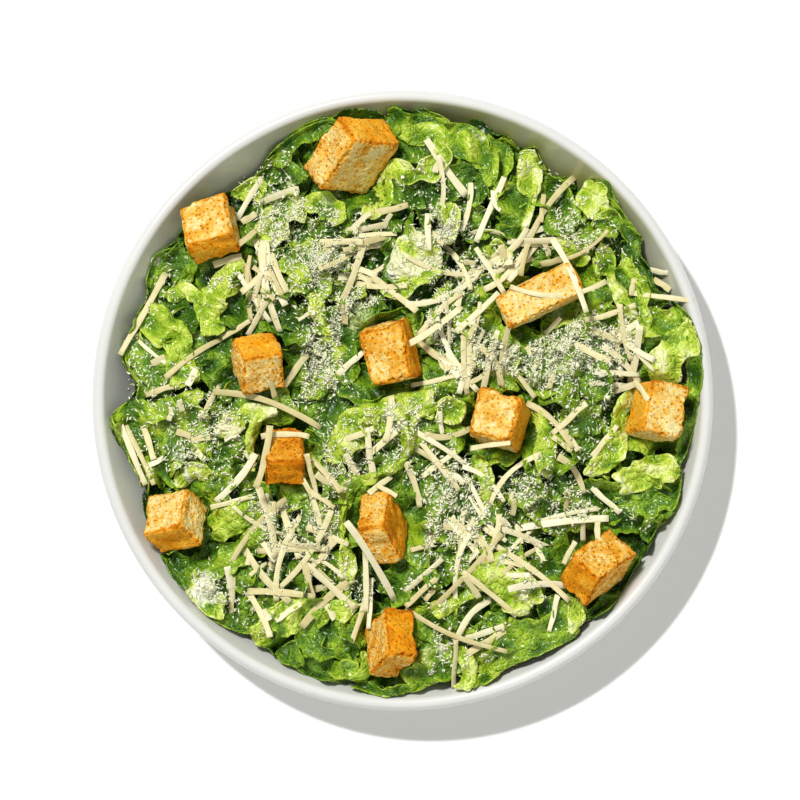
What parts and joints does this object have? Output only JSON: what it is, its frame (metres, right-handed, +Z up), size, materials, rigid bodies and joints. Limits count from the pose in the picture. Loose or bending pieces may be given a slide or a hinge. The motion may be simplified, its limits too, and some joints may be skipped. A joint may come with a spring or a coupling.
{
  "type": "caesar salad in a bowl",
  "caption": "Caesar salad: a heap of chopped romaine with shredded and grated hard cheese and toasted bread croutons, in a round white bowl.",
  "frame": {"origin": "middle of the underside of the bowl's foot ring", "axes": "+Z up through the middle of the bowl; +Y towards the top of the picture, +X to its right"},
  "size_m": [0.22, 0.22, 0.0918],
  "materials": {
    "bowl_white": "smooth white glaze",
    "romaine": "wet green leaf",
    "toast": "toasted bread, dry and porous",
    "hard_cheese": "shredded and grated pale hard cheese"
  },
  "bodies": {
    "root": {"bowl": "bowl_white", "salad": "romaine", "crouton_01": "toast", "crouton_02": "toast", "crouton_03": "toast", "crouton_04": "toast", "crouton_05": "toast", "crouton_06": "toast", "crouton_07": "toast", "crouton_08": "toast", "crouton_09": "toast", "crouton_10": "toast", "crouton_11": "toast", "crouton_12": "toast"}
  },
  "joints": []
}
